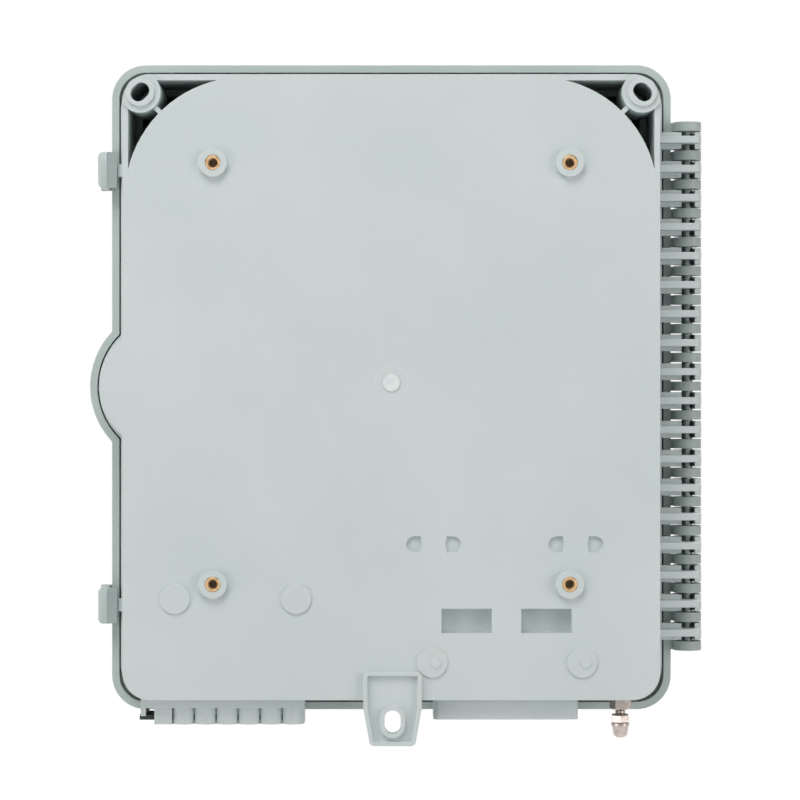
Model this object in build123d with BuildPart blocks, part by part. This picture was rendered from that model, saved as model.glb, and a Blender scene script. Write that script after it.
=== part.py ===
from build123d import *
import os

os.makedirs("parts", exist_ok=True)

# Wall-mounted fibre splice box, closed, with its back plate against the wall plane y = 0.
# X is to the right and Z is up, seen from the front. Depth is measured from the wall towards the cover.

# Outline of the housing at its back face
half_width = 126.7
half_height = 147.4
body_z = -6.5
base_corner = 13.0
bulge_x = half_width - 19.2
bulge_z = -6.2
bulge_r = 29.9
join_r = 1.5
top_z = body_z + half_height
bottom_z = body_z - half_height

# Depth stations
back_face = 3.0
floor_depth = 6.0
flange_rear = 39.0
flange_front = flange_rear + 7.0
lip_front = flange_front + 4.0
skirt_rear = flange_rear + 4.0
roof_depth = lip_front + 0.6
rim_front = roof_depth + 6.4
cover_front = rim_front + 41.0

# Walls
base_wall = 3.5
cover_wall = 2.8
side_draft = 1.0
flange_reach = 4.2
rim_reach = 8.9
skirt_wall = 3.5
cover_step = -1.4
cover_draft = 1.2
front_round = 6.0
lip_wall = 2.3

# Rounded top corners of the sealed space, with open pockets behind them for the wall screws
top_arc_r = 54.1
low_corner_r = 10.0
arc_wall = 2.3
pocket_wall = 2.7
corner_inset = 8.5
corner_boss_r = 9.6
corner_disc_r = 6.7
corner_rear = 1.5
corner_floor = 3.0
corner_cup_wall = 2.0
corner_rib = 2.2
corner_rib_root = 1.0
screw_slot_w = 7.5
screw_slot_l = 9.5

# Gasket in the cover
gasket_w = 3.5
gasket_rear = lip_front + 0.3
gasket_front = roof_depth + 2.7
groove_lip = 1.2

# Threaded inserts for the wall bracket
insert_x = 84.0
insert_z = 99.2
insert_r = 3.7
insert_bore_r = 2.1
insert_length = 9.2
insert_mouth = 0.4
insert_boss_r = 6.7
insert_cover = 2.5

# Lowest wall-screw ear
ear_x = -0.6
ear_top = bottom_z + 13.6
ear_knee = bottom_z - 3.7
ear_low = bottom_z - 21.3
ear_width = 27.5
ear_tip_width = 21.2
ear_corner = 2.4
ear_thick = 6.0
ear_rim = 1.9
ear_recess = 2.5
ear_slot_w = 7.6
ear_slot_l = 11.0
ear_slot_z = bottom_z - 10.0
ear_ring = 2.0

# Marks of the moulding on the back
disc_r = 7.0
disc_height = 1.0
disc_upper_z = bottom_z + 47.7
disc_lower_z = bottom_z + 17.6
disc_outer_x = half_width - 24.7
disc_inner_x = 44.9
disc_ear_x = -19.2
disc_hinge_x = -(half_width - 36.8)
nub_r = 2.4
nub_height = 0.6
nub_shift = -1.8
gate_r = 4.2
gate_height = 0.6
gate_z = -4.3

# Main cable entry, two ports side by side
main_x = -(half_width - 72.4)
main_pitch = 37.6
main_width = 68.7
main_low = bottom_z - 10.2
main_round = 3.0
entry_rear = 12.0
entry_front = 36.0
gland_r = 9.0
gland_bore_r = 6.2
gland_flange = 2.0
gland_flange_w = 2.2
gland_fit = 0.05
gland_inset = 1.0
saddle_z = bottom_z + 37.3
saddle_w = 23.8
saddle_l = 11.5
saddle_wall = 2.5
saddle_top = 13.5
dee_z = bottom_z + 73.4
dee_flat = 6.0
dee_w = 7.0
dee_h = 7.6
dee_deep = 2.0
dee_pair_x = (-20.0, -87.0)

# Drop cable entry, six oval ports in a row
drop_end_x = half_width - 7.8
drop_port_x = half_width - 22.5
drop_pitch = 10.45
drop_count = 6
drop_strip_low = bottom_z - 4.8
drop_low = bottom_z - 12.6
drop_leg_low = bottom_z - 8.5
drop_leg_w = 2.3
drop_notch_x = half_width - 14.2
drop_notch_inset = 2.0
drop_overlap = 0.2
drop_hole_w = 4.6
drop_hole_l = 15.0
drop_wall = 3.5
seal_top = bottom_z - 8.3
seal_thick = 2.4
seal_tab_x = half_width - 7.0

# Earth stud below the base
stud_x = -(half_width - 17.3)
stud_depth = 22.0
stud_r = 2.5
stud_top = bottom_z + 7.9
stud_low = bottom_z - 16.6
stud_end = 1.0
thread_fit = 0.05
nut_flats = 8.0
lock_nut_low = bottom_z - 6.5
cap_nut_top = bottom_z - 8.7
cap_nut_height = 4.2
cap_collar_r = 4.4
cap_collar = 1.1
cap_r = 3.8
cap_dome = 3.0
cap_low = bottom_z - 20.1

# Comb hinge on the -X side
hinge_x = -(half_width + 16.6)
hinge_depth = flange_rear + 2.0
hinge_z = -5.95
hinge_margin = 14.97
ring_count = 19
hinge_pitch = 2 * (half_height - hinge_margin) / ring_count
knuckle_count = ring_count - 1
ring_r = 6.8
ring_width = 4.5
ring_gap = 0.67
knuckle_width = hinge_pitch - ring_width - 2 * ring_gap
rod_r = 2.65
rod_fit = 0.07
rod_seat = 0.02
window_half = 3.2
rib_width = 3.3
rib_rear = hinge_depth - 14.0
rib_end = 5.6
rib_bevel = 2.0
rib_front = hinge_depth + 0.4
rod_overhang = 1.5

# Snap latches on the +X side
latch_middle = -6.75
latch_span = half_height - 42.45
latch_z = (latch_middle + latch_span, latch_middle - latch_span)
latch_x = half_width + 12.3
latch_depth = skirt_rear + 10.0
latch_height = 17.3
latch_rear = flange_rear - 8.0
latch_outer = half_width + 14.5
latch_inner = half_width + 10.1
latch_lead = 0.3
latch_eye_r = 3.0
latch_slot = 6.8
latch_slot_reach = 4.6
barb_x = half_width + 5.6
barb_front = flange_rear - 4.0
barb_land = 0.8
pad_corner = 1.6
lug_width = 6.0
lug_r = 2.6
latch_pin_r = 1.25
latch_pin_fit = 0.06
keeper_x = half_width + 5.2
keeper_rear = flange_rear - 3.0
keeper_width = 6.1

# Lock in the bulge
niche_r = 18.5
niche_wall = 2.6
niche_floor = cover_front - 26.0
lock_barrel_r = 7.0
lock_flange_r = 10.0
lock_flange = 2.0
lock_rear = niche_floor - 22.0
plug_r = 4.0
plug_fit = 0.05
plug_front = niche_floor + 4.0
plug_head_r = 5.5
cam_front = lip_front - 3.5
cam_thick = 2.5
cam_length = 20.0
cam_width = 8.0
cam_eye_wall = 3.0
cam_nut_wall = 2.5
cam_nut_thick = 3.0
strike_x = bulge_x + 15.5
strike_half = 7.0
strike_rear = lip_front - 3.0
key_r = 3.0
key_depth = 1.4

# Swing-out frame: bracket, adapter panel and splice tray share the -X side
post_x = -(half_width - 16.7)
post_width = 8.0
post_thick = 5.0
post_front = 50.0
post_half_gap = 60.0
bracket_plate = 2.0
pin_r = 2.0
pin_length = 9.0
pin_fit = 0.06
eye_r = 4.0
eye_height = 8.0
eye_gap = 0.3
eye_root = 1.0
panel_gap = 8.0
panel_axis_depth = post_front - 3.0
panel_thick = 2.5
panel_fold = 10.0
panel_right = half_width - 46.7
tray_gap = 12.0
tray_axis_depth = 18.0
tray_rear = 12.5
tray_height = 10.0
tray_right = half_width - 56.7
tray_wall = 1.8
tray_lid_thick = 1.5
tray_round = 8.0

# Adapters in the panel
adapter_pitch = 14.0
adapter_first_x = post_x + 18.0
adapter_margin = 10.0
adapter_z = 30.0
adapter_w = 9.2
adapter_h = 12.8
adapter_l = 26.0
adapter_flange = 2.0
adapter_flange_w = 3.0
adapter_bore = 6.4
adapter_fit = 0.05
adapter_socket = 8.0
dust_cap_l = 5.0
dust_cap_step = 3.0
dust_stem_gap = 1.0
splitter_x = post_x + 50.0
splitter_z = -24.0
splitter_w = 62.0
splitter_h = 30.0
splitter_d = 9.0
splitter_round = 2.0

# Splice holder in the tray
holder_w = 36.0
holder_l = 40.0
holder_base = 1.5
comb_count = 7
comb_pitch = 5.6
comb_wall = 1.4
comb_height = 5.0

# Cable clamps on the saddles, and fibre guides on the floor
clamp_w = 26.0
clamp_l = 10.0
clamp_groove_r = 6.0
clamp_gap = 0.4
clamp_height = 9.0
clamp_round = 3.0
clamp_screw_end = 1.0
clamp_screw_r = 1.6
clamp_head_r = 2.9
clamp_head = 2.2
clamp_screw_x = 9.8
guide_top_x = 58.0
guide_top_z = top_z - 28.9
guide_side_x = half_width - 38.7
guide_side_z = 61.0
guide_w = 14.0
guide_stem = 3.0
guide_front = 30.0
guide_lip = 10.0


def depth(distance):
    """Plane parallel to the wall; its x and y are X and Z, and it faces the cover."""
    return Plane.XZ.offset(distance)


def outline(grow, corner):
    """Draw the rounded housing outline with the round lock bulge on its +X side."""
    with BuildSketch(Plane.XY) as shape:
        with Locations((0, body_z)):
            RectangleRounded(2 * (half_width + grow), 2 * (half_height + grow), corner)
        with Locations((bulge_x, bulge_z)):
            Circle(bulge_r + grow)
        joins = shape.vertices().filter_by(lambda v: abs(v.Y - bulge_z) < bulge_r + grow)
        fillet(joins, join_r)
    add(shape.sketch)


def cavity(shrink):
    """Draw the sealed space: wide round corners at the top, small ones below, and the bulge."""
    with BuildSketch(Plane.XY) as space:
        with Locations((0, body_z)):
            Rectangle(2 * (half_width - base_wall - shrink), 2 * (half_height - base_wall - shrink))
        rows = space.vertices().group_by(Axis.Y)
        fillet(rows[-1], top_arc_r - shrink)
        rows = space.vertices().group_by(Axis.Y)
        fillet(rows[0], low_corner_r - shrink)
        with Locations((bulge_x, bulge_z)):
            Circle(bulge_r - base_wall - shrink)
        joins = space.vertices().filter_by(lambda v: abs(v.Y - bulge_z) < bulge_r)
        fillet(joins, join_r)
    add(space.sketch)


def corner_pocket(side, inset):
    """Draw the open corner outside the arc wall; side is 1 or -1 for the +X or -X corner."""
    arc_x = half_width - base_wall - top_arc_r
    arc_z = body_z + half_height - base_wall - top_arc_r
    with BuildSketch(Plane.XY) as corner:
        with Locations((0, body_z)):
            RectangleRounded(2 * (half_width - inset), 2 * (half_height - inset), base_corner - inset)
        with Locations((side * (arc_x + top_arc_r), arc_z + top_arc_r)):
            Rectangle(2 * top_arc_r, 2 * top_arc_r, mode=Mode.INTERSECT)
        with Locations((side * arc_x, arc_z)):
            Circle(top_arc_r + arc_wall, mode=Mode.SUBTRACT)
    add(corner.sketch)


def level_planes(count, width):
    """Level planes for the loops of the hinge, evenly spaced; each loop is as wide as stated."""
    middle = (count - 1) / 2
    return [Plane.XY.offset(hinge_z + hinge_pitch * (i - middle) - width / 2) for i in range(count)]


arc_gap = 2**0.5 * (top_arc_r + base_wall - corner_inset) - top_arc_r
rib_length = arc_gap - corner_boss_r / 2 - corner_rib_root
corner_x = half_width - corner_inset
corner_z = body_z + half_height - corner_inset
main_ports = [main_x - main_pitch / 2, main_x + main_pitch / 2]
drop_ports = [drop_port_x - drop_pitch * (i + 0.5) for i in range(drop_count)]
drop_last_x = drop_port_x - drop_pitch * drop_count
entry_middle = (entry_rear + entry_front) / 2
entry_deep = entry_front - entry_rear
clamp_split = entry_middle - clamp_gap
clamp_top = entry_middle + clamp_height
adapter_count = int((panel_right - adapter_margin - adapter_first_x) / adapter_pitch) + 1
guide_places = (
    (-guide_top_x, guide_top_z),
    (guide_top_x, guide_top_z),
    (guide_side_x, guide_side_z),
    (guide_side_x, -guide_side_z),
)
inner_bottom_z = bottom_z + base_wall
seal_low = seal_top - seal_thick
hinge_bottom = hinge_z - hinge_pitch * ring_count / 2
groove_inner = (gasket_w - lip_wall) / 2


def gland_seats():
    """Draw the seats of the two glands, seen from above."""
    with Locations(*[(x, -entry_middle) for x in main_ports]):
        Circle(gland_r)


def drop_strip():
    """Draw the strip that the drop ports stand in, seen from above."""
    with Locations(((drop_end_x + drop_last_x) / 2, -entry_middle)):
        Rectangle(drop_end_x - drop_last_x, entry_deep)


def drop_holes():
    """Draw the oval holes of the drop ports, seen from above."""
    for x in drop_ports:
        with Locations(Location((x, -entry_middle), 90)):
            SlotOverall(drop_hole_l, drop_hole_w)


def seal_outline():
    """Draw the rubber strip across the drop ports, seen from above."""
    with Locations(((seal_tab_x + drop_last_x + drop_wall) / 2, -entry_middle)):
        Rectangle(seal_tab_x - drop_last_x - drop_wall, entry_deep - 2 * drop_wall)


# Outer form of the base with its flange; everything moulded on outside meets this surface
with BuildPart() as form:
    with BuildSketch(depth(back_face)):
        outline(0, base_corner)
    with BuildSketch(depth(flange_rear)):
        outline(side_draft, base_corner + side_draft)
    loft(ruled=True)
    with BuildSketch(depth(flange_rear)):
        outline(flange_reach, base_corner + flange_reach)
    extrude(amount=flange_front - flange_rear)

# Base housing: back plate with its marks, walls, flange and seal lip
with BuildPart() as base:
    add(form.part)
    with BuildSketch(depth(flange_front)):
        cavity(-lip_wall)
    extrude(amount=lip_front - flange_front)

    # Sealed space, and the screw pockets outside its arc walls
    with BuildSketch(depth(floor_depth)):
        cavity(0)
    extrude(amount=lip_front - floor_depth, mode=Mode.SUBTRACT)
    with BuildSketch(depth(back_face)):
        corner_pocket(1, pocket_wall)
        corner_pocket(-1, pocket_wall)
    extrude(amount=flange_front - back_face, mode=Mode.SUBTRACT)

    # Room for the insert bosses and the drop cable entry, which sit in the moulding
    with BuildSketch(depth(back_face)):
        with GridLocations(2 * insert_x, 2 * insert_z, 2, 2):
            Circle(insert_boss_r)
    extrude(amount=floor_depth - back_face, mode=Mode.SUBTRACT)
    with BuildSketch(Plane.XY.offset(inner_bottom_z)):
        drop_strip()
    extrude(amount=drop_low - inner_bottom_z, mode=Mode.SUBTRACT)

    # Ejector discs and gate mark
    with BuildSketch(depth(back_face - disc_height)):
        with Locations((disc_outer_x, disc_upper_z), (disc_inner_x, disc_upper_z)):
            Circle(disc_r)
        with Locations((disc_ear_x, disc_lower_z), (disc_hinge_x, disc_lower_z)):
            Circle(disc_r)
    extrude(amount=disc_height)
    with BuildSketch(depth(back_face - disc_height - nub_height)):
        with Locations((disc_ear_x + nub_shift, disc_lower_z), (disc_hinge_x + nub_shift, disc_lower_z)):
            Circle(nub_r)
    extrude(amount=nub_height)
    with BuildSketch(depth(back_face - gate_height)):
        with Locations((0, gate_z)):
            Circle(gate_r)
    extrude(amount=gate_height)

    # Platforms for the main cable clamps, hollow from behind
    with BuildSketch(depth(floor_depth)):
        with Locations(*[(x, saddle_z) for x in main_ports]):
            Rectangle(saddle_w + 2 * saddle_wall, saddle_l + 2 * saddle_wall)
    extrude(amount=saddle_top - floor_depth)
    with BuildSketch(depth(back_face)):
        with Locations(*[(x, saddle_z) for x in main_ports]):
            Rectangle(saddle_w, saddle_l)
    extrude(amount=saddle_top - saddle_wall - back_face, mode=Mode.SUBTRACT)
    for pair_x in dee_pair_x:
        for side in (1, -1):
            with BuildSketch(depth(back_face)):
                with Locations((pair_x + side * (dee_flat + dee_w - dee_h / 2), dee_z)):
                    Circle(dee_h / 2)
                with Locations((pair_x + side * (dee_flat + (dee_w - dee_h / 2) / 2), dee_z)):
                    Rectangle(dee_w - dee_h / 2, dee_h)
            extrude(amount=dee_deep, mode=Mode.SUBTRACT)

    # Holes in the lower wall for the main ports
    with BuildSketch(Plane.XY.offset(inner_bottom_z)):
        gland_seats()
    extrude(amount=drop_low - inner_bottom_z, mode=Mode.SUBTRACT)

    # Hole for the earth stud
    with BuildSketch(Plane.XY.offset(inner_bottom_z)):
        with Locations((stud_x, -stud_depth)):
            Circle(stud_r + thread_fit)
    extrude(amount=-2 * base_wall, both=True, mode=Mode.SUBTRACT)
base.part.label = "base_housing"
export_step(base.part, "parts/base_housing.step")

# Screw cups in the two top corners, each with a rib to the arc wall
with BuildPart() as cups:
    for side in (1, -1):
        with BuildSketch(depth(corner_rear)):
            with Locations((side * corner_x, corner_z)):
                Circle(corner_boss_r)
            with BuildSketch(Plane.XY, mode=Mode.INTERSECT):
                with Locations((0, body_z)):
                    RectangleRounded(2 * half_width, 2 * half_height, base_corner)
        extrude(amount=flange_rear - corner_rear)
        with BuildSketch(depth(back_face)):
            with Locations(Location((side * corner_x, corner_z), 45 if side == 1 else 135)):
                with Locations((-rib_length / 2 - corner_boss_r / 2, 0)):
                    Rectangle(rib_length, corner_rib)
        extrude(amount=flange_rear - back_face)
        with BuildSketch(depth(0)):
            with Locations((side * corner_x, corner_z)):
                Circle(corner_disc_r)
        extrude(amount=corner_rear)
        with BuildSketch(depth(corner_rear + corner_floor)):
            with Locations((side * corner_x, corner_z)):
                Circle(corner_boss_r - corner_cup_wall)
        extrude(amount=flange_front - corner_rear, mode=Mode.SUBTRACT)
        with BuildSketch(depth(0)):
            with Locations(Location((side * corner_x, corner_z), 135 if side == 1 else 45)):
                SlotOverall(screw_slot_l, screw_slot_w)
        extrude(amount=corner_rear + corner_floor, mode=Mode.SUBTRACT)
    add(base.part, mode=Mode.SUBTRACT)
cups.part.label = "corner_screw_cups"
export_step(cups.part, "parts/corner_screw_cups.step")

# Bosses that hold the threaded inserts
with BuildPart() as bosses:
    with BuildSketch(depth(0)):
        with GridLocations(2 * insert_x, 2 * insert_z, 2, 2):
            Circle(insert_boss_r)
    extrude(amount=insert_length + insert_cover)
    with BuildSketch(depth(0)):
        with GridLocations(2 * insert_x, 2 * insert_z, 2, 2):
            Circle(insert_r)
    extrude(amount=insert_length, mode=Mode.SUBTRACT)
bosses.part.label = "insert_bosses"
export_step(bosses.part, "parts/insert_bosses.step")

# Ear for the lowest wall screw, recessed round its slot
with BuildPart() as mounting_ear:
    with BuildSketch(depth(0)) as ear:
        with BuildLine():
            Polyline(
                (ear_x - ear_width / 2, ear_top),
                (ear_x + ear_width / 2, ear_top),
                (ear_x + ear_width / 2, ear_knee),
                (ear_x + ear_tip_width / 2, ear_low),
                (ear_x - ear_tip_width / 2, ear_low),
                (ear_x - ear_width / 2, ear_knee),
                close=True,
            )
        make_face()
        fillet(ear.vertices(), ear_corner)
    extrude(amount=ear_thick)
    with BuildSketch(depth(0)):
        add(offset(ear.sketch_local, amount=-ear_rim, mode=Mode.PRIVATE))
        with Locations(Location((ear_x, ear_slot_z), 90)):
            SlotOverall(ear_slot_l + 2 * ear_ring, ear_slot_w + 2 * ear_ring, mode=Mode.SUBTRACT)
    extrude(amount=ear_recess, mode=Mode.SUBTRACT)
    with BuildSketch(depth(0)):
        with Locations(Location((ear_x, ear_slot_z), 90)):
            SlotOverall(ear_slot_l, ear_slot_w)
    extrude(amount=ear_thick, mode=Mode.SUBTRACT)
    add(base.part, mode=Mode.SUBTRACT)
mounting_ear.part.label = "mounting_ear"
export_step(mounting_ear.part, "parts/mounting_ear.step")

# Strike inside the bulge, which the lock cam turns behind
with BuildPart() as strike:
    with BuildSketch(depth(strike_rear)):
        with Locations(((strike_x + bulge_x + bulge_r - base_wall) / 2, bulge_z)):
            Rectangle(bulge_x + bulge_r - base_wall - strike_x, 2 * strike_half)
    extrude(amount=lip_front - strike_rear)
    add(base.part, mode=Mode.SUBTRACT)
strike.part.label = "lock_strike"
export_step(strike.part, "parts/lock_strike.step")

# Open-backed hinge knuckles, each carried by one rib on the base wall
with BuildPart() as knuckles:
    with BuildSketch(*level_planes(knuckle_count, knuckle_width)):
        with Locations((hinge_x, -hinge_depth)):
            Circle(ring_r)
        with Locations((hinge_x, -hinge_depth + ring_r / 2)):
            Rectangle(2 * window_half, ring_r, mode=Mode.SUBTRACT)
    extrude(amount=knuckle_width)
    with BuildSketch(*level_planes(knuckle_count, rib_width)):
        with BuildLine():
            Polyline(
                (-half_width, -rib_rear),
                (hinge_x - rib_end + rib_bevel, -rib_rear),
                (hinge_x - rib_end, -rib_rear - rib_bevel),
                (hinge_x - rib_end, -hinge_depth),
                (hinge_x, -rib_front),
                (-half_width, -rib_front),
                close=True,
            )
        make_face()
    extrude(amount=rib_width)
    add(form.part, mode=Mode.SUBTRACT)
    with BuildSketch(Plane.XY.offset(hinge_bottom)):
        with Locations((hinge_x, -hinge_depth)):
            Circle(rod_r + rod_fit)
    extrude(amount=hinge_pitch * ring_count, mode=Mode.SUBTRACT)
knuckles.part.label = "hinge_knuckles"
export_step(knuckles.part, "parts/hinge_knuckles.step")

# Keeper tabs under the flange, where the latches hook
with BuildPart() as keepers:
    for z in latch_z:
        with BuildSketch(depth(keeper_rear)):
            with Locations(((half_width + side_draft + keeper_x) / 2, z)):
                Rectangle(keeper_x - half_width - side_draft, keeper_width)
        extrude(amount=flange_rear - keeper_rear)
keepers.part.label = "latch_keepers"
export_step(keepers.part, "parts/latch_keepers.step")

# Main cable entry block with its two gland seats
with BuildPart() as main_entry:
    with BuildSketch(Plane.XY.offset(inner_bottom_z)):
        with Locations((main_x, -entry_middle)):
            RectangleRounded(main_width, entry_deep, main_round)
        with BuildSketch(Plane.XY, mode=Mode.SUBTRACT):
            gland_seats()
    extrude(amount=main_low - inner_bottom_z)
    add(form.part, mode=Mode.SUBTRACT)
main_entry.part.label = "main_entry_block"
export_step(main_entry.part, "parts/main_entry_block.step")

# Drop cable entry, set in the lower wall: strip, end leg, flat and a row of oval ports over the seal
with BuildPart() as drop_entry:
    with BuildSketch(Plane.XY.offset(inner_bottom_z)):
        drop_strip()
    extrude(amount=drop_strip_low - inner_bottom_z)
    with BuildSketch(Plane.XY.offset(drop_strip_low)):
        with Locations((drop_end_x - drop_leg_w / 2, -entry_middle)):
            Rectangle(drop_leg_w, entry_deep)
    extrude(amount=drop_leg_low - drop_strip_low)
    with BuildSketch(Plane.XY.offset(drop_strip_low)):
        with Locations(((drop_notch_x + drop_port_x) / 2, -entry_middle)):
            Rectangle(drop_notch_x - drop_port_x, entry_deep - drop_notch_inset)
        for x in drop_ports:
            with Locations(Location((x, -entry_middle), 90)):
                SlotOverall(entry_deep, drop_pitch + drop_overlap)
    extrude(amount=drop_low - drop_strip_low)
    with BuildSketch(Plane.XY.offset(inner_bottom_z)):
        drop_holes()
    extrude(amount=drop_low - inner_bottom_z, mode=Mode.SUBTRACT)
    with BuildSketch(Plane.XY.offset(seal_top)):
        seal_outline()
    extrude(amount=-seal_thick, mode=Mode.SUBTRACT)
drop_entry.part.label = "drop_entry_block"
export_step(drop_entry.part, "parts/drop_entry_block.step")

# Brass inserts, flush with the wall plane
with BuildPart() as inserts:
    with BuildSketch(depth(0)):
        with GridLocations(2 * insert_x, 2 * insert_z, 2, 2):
            Circle(insert_r)
            Circle(insert_bore_r, mode=Mode.SUBTRACT)
    extrude(amount=insert_length)
    mouths = inserts.edges().filter_by(GeomType.CIRCLE).group_by(Axis.Y)[-1]
    chamfer(mouths.filter_by(lambda e: e.radius < insert_r), insert_mouth)
inserts.part.label = "bracket_inserts"
export_step(inserts.part, "parts/bracket_inserts.step")

# Cover: rim over the base flange, stepped body, gasket groove and lock niche
with BuildPart() as cover:
    with BuildSketch(depth(rim_front)):
        outline(cover_step, base_corner)
    with BuildSketch(depth(cover_front)):
        outline(cover_step - cover_draft, base_corner - cover_draft)
    loft(ruled=True)
    fillet(cover.faces().sort_by(Axis.Y)[0].edges(), front_round)
    with BuildSketch(depth(skirt_rear)):
        outline(rim_reach, base_corner + skirt_wall)
    extrude(amount=rim_front - skirt_rear)
    with BuildSketch(depth(skirt_rear)):
        outline(rim_reach - skirt_wall, base_corner)
    extrude(amount=roof_depth - skirt_rear, mode=Mode.SUBTRACT)

    # Hollow body, with the top corners left open behind the arc walls
    with BuildSketch(depth(roof_depth)):
        cavity(groove_inner + groove_lip)
        corner_pocket(1, cover_wall - cover_step + cover_draft)
        corner_pocket(-1, cover_wall - cover_step + cover_draft)
    extrude(amount=cover_front - cover_wall - roof_depth, mode=Mode.SUBTRACT)
    with BuildSketch(depth(roof_depth)):
        cavity(groove_inner - gasket_w)
        with BuildSketch(Plane.XY, mode=Mode.SUBTRACT):
            cavity(groove_inner)
    extrude(amount=gasket_front - roof_depth, mode=Mode.SUBTRACT)

    # Round niche for the lock
    with BuildSketch(depth(niche_floor - niche_wall)):
        with Locations((bulge_x, bulge_z)):
            Circle(niche_r + niche_wall)
    extrude(amount=cover_front - cover_wall - niche_floor + niche_wall)
    with BuildSketch(depth(niche_floor)):
        with Locations((bulge_x, bulge_z)):
            Circle(niche_r)
    extrude(amount=cover_front - niche_floor, mode=Mode.SUBTRACT)
    with BuildSketch(depth(niche_floor - niche_wall)):
        with Locations((bulge_x, bulge_z)):
            Circle(lock_barrel_r)
    extrude(amount=niche_wall, mode=Mode.SUBTRACT)
cover.part.label = "cover"
export_step(cover.part, "parts/cover.step")

# Hinge rings on arms from the cover rim
rim_face = half_width + rim_reach
with BuildPart() as rings:
    with BuildSketch(*level_planes(ring_count, ring_width)):
        with Locations((hinge_x, -hinge_depth)):
            Circle(ring_r)
        with Locations(((hinge_x - rim_face) / 2, -(skirt_rear + hinge_depth + ring_r) / 2)):
            Rectangle(-rim_face - hinge_x, hinge_depth + ring_r - skirt_rear)
    extrude(amount=ring_width)
    with BuildSketch(Plane.XY.offset(hinge_bottom)):
        with Locations((hinge_x, -hinge_depth)):
            Circle(rod_r + rod_seat)
    extrude(amount=hinge_pitch * ring_count, mode=Mode.SUBTRACT)
rings.part.label = "hinge_rings"
export_step(rings.part, "parts/hinge_rings.step")

# Latch lugs on the other side of the rim
with BuildPart() as lugs:
    for z in latch_z:
        with BuildSketch(Plane.XY.offset(z - lug_width / 2)):
            with Locations((latch_x, -latch_depth)):
                Circle(lug_r)
            with Locations(((latch_x + rim_face) / 2, -latch_depth)):
                Rectangle(latch_x - rim_face, 2 * lug_r)
            with Locations((latch_x, -latch_depth)):
                Circle(latch_pin_r, mode=Mode.SUBTRACT)
        extrude(amount=lug_width)
lugs.part.label = "latch_lugs"
export_step(lugs.part, "parts/latch_lugs.step")

# Gasket ring over the seal lip
with BuildPart() as gasket:
    with BuildSketch(depth(gasket_rear)):
        cavity(groove_inner - gasket_w)
        with BuildSketch(Plane.XY, mode=Mode.SUBTRACT):
            cavity(groove_inner)
    extrude(amount=gasket_front - gasket_rear)
gasket.part.label = "cover_gasket"
export_step(gasket.part, "parts/cover_gasket.step")

# Hinge rod through all rings and knuckles
with BuildPart() as rod:
    rod_half = hinge_pitch * (ring_count - 1) / 2 + ring_width / 2 + rod_overhang
    with BuildSketch(Plane.XY.offset(hinge_z - rod_half)):
        with Locations((hinge_x, -hinge_depth)):
            Circle(rod_r)
    extrude(amount=2 * rod_half)
rod.part.label = "hinge_rod"
export_step(rod.part, "parts/hinge_rod.step")

# Latch pins, fixed in the cover lugs
with BuildPart() as latch_pins:
    for z in latch_z:
        with BuildSketch(Plane.XY.offset(z - latch_height / 2)):
            with Locations((latch_x, -latch_depth)):
                Circle(latch_pin_r)
        extrude(amount=latch_height)
latch_pins.part.label = "latch_pins"
export_step(latch_pins.part, "parts/latch_pins.step")

# Two equal latch levers: an eye round the pin, a flat lever and a ramped barb
for name, z in zip(("latch_upper", "latch_lower"), latch_z):
    with BuildPart() as latch:
        with BuildSketch(Plane.XY.offset(z - latch_height / 2)):
            with BuildLine():
                Polyline(
                    (latch_inner, -latch_depth),
                    (latch_outer, -latch_depth),
                    (latch_outer, -latch_rear),
                    (latch_inner - latch_lead, -latch_rear),
                    (barb_x, -barb_front + barb_land),
                    (barb_x, -barb_front),
                    (latch_inner, -barb_front),
                    close=True,
                )
            make_face()
            with Locations((latch_x, -latch_depth)):
                Circle(latch_eye_r)
                Circle(latch_pin_r + latch_pin_fit, mode=Mode.SUBTRACT)
        extrude(amount=latch_height)
        pad = latch.faces().sort_by(Axis.Y)[-1]
        fillet(pad.edges().filter_by(Axis.Z).sort_by(Axis.X)[-1], pad_corner)
        with BuildSketch(Plane.XY.offset(z - latch_slot / 2)):
            with Locations((latch_x, -latch_depth)):
                Rectangle(4 * latch_eye_r, 2 * latch_slot_reach)
        extrude(amount=latch_slot, mode=Mode.SUBTRACT)
    latch.part.label = name
    export_step(latch.part, "parts/" + name + ".step")

# Lock barrel seated on the niche floor
with BuildPart() as barrel:
    with BuildSketch(depth(lock_rear)):
        with Locations((bulge_x, bulge_z)):
            Circle(lock_barrel_r)
            Circle(plug_r + plug_fit, mode=Mode.SUBTRACT)
    extrude(amount=niche_floor - lock_rear)
    with BuildSketch(depth(niche_floor)):
        with Locations((bulge_x, bulge_z)):
            Circle(lock_flange_r)
            Circle(plug_r + plug_fit, mode=Mode.SUBTRACT)
    extrude(amount=lock_flange)
barrel.part.label = "lock_barrel"
export_step(barrel.part, "parts/lock_barrel.step")

# Turning plug with its cam at the rear
cam_rear = cam_front - cam_thick
with BuildPart() as plug:
    with BuildSketch(depth(cam_rear - cam_nut_thick)):
        with Locations((bulge_x, bulge_z)):
            Circle(plug_r)
    extrude(amount=plug_front - cam_rear + cam_nut_thick)
    with BuildSketch(depth(niche_floor + lock_flange + eye_gap)):
        with Locations((bulge_x, bulge_z)):
            Circle(plug_head_r)
    extrude(amount=plug_front - niche_floor - lock_flange - eye_gap)
    with BuildSketch(depth(plug_front - key_depth)):
        with Locations((bulge_x, bulge_z)):
            RegularPolygon(key_r, 3)
    extrude(amount=key_depth, mode=Mode.SUBTRACT)
plug.part.label = "lock_plug"
export_step(plug.part, "parts/lock_plug.step")

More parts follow.
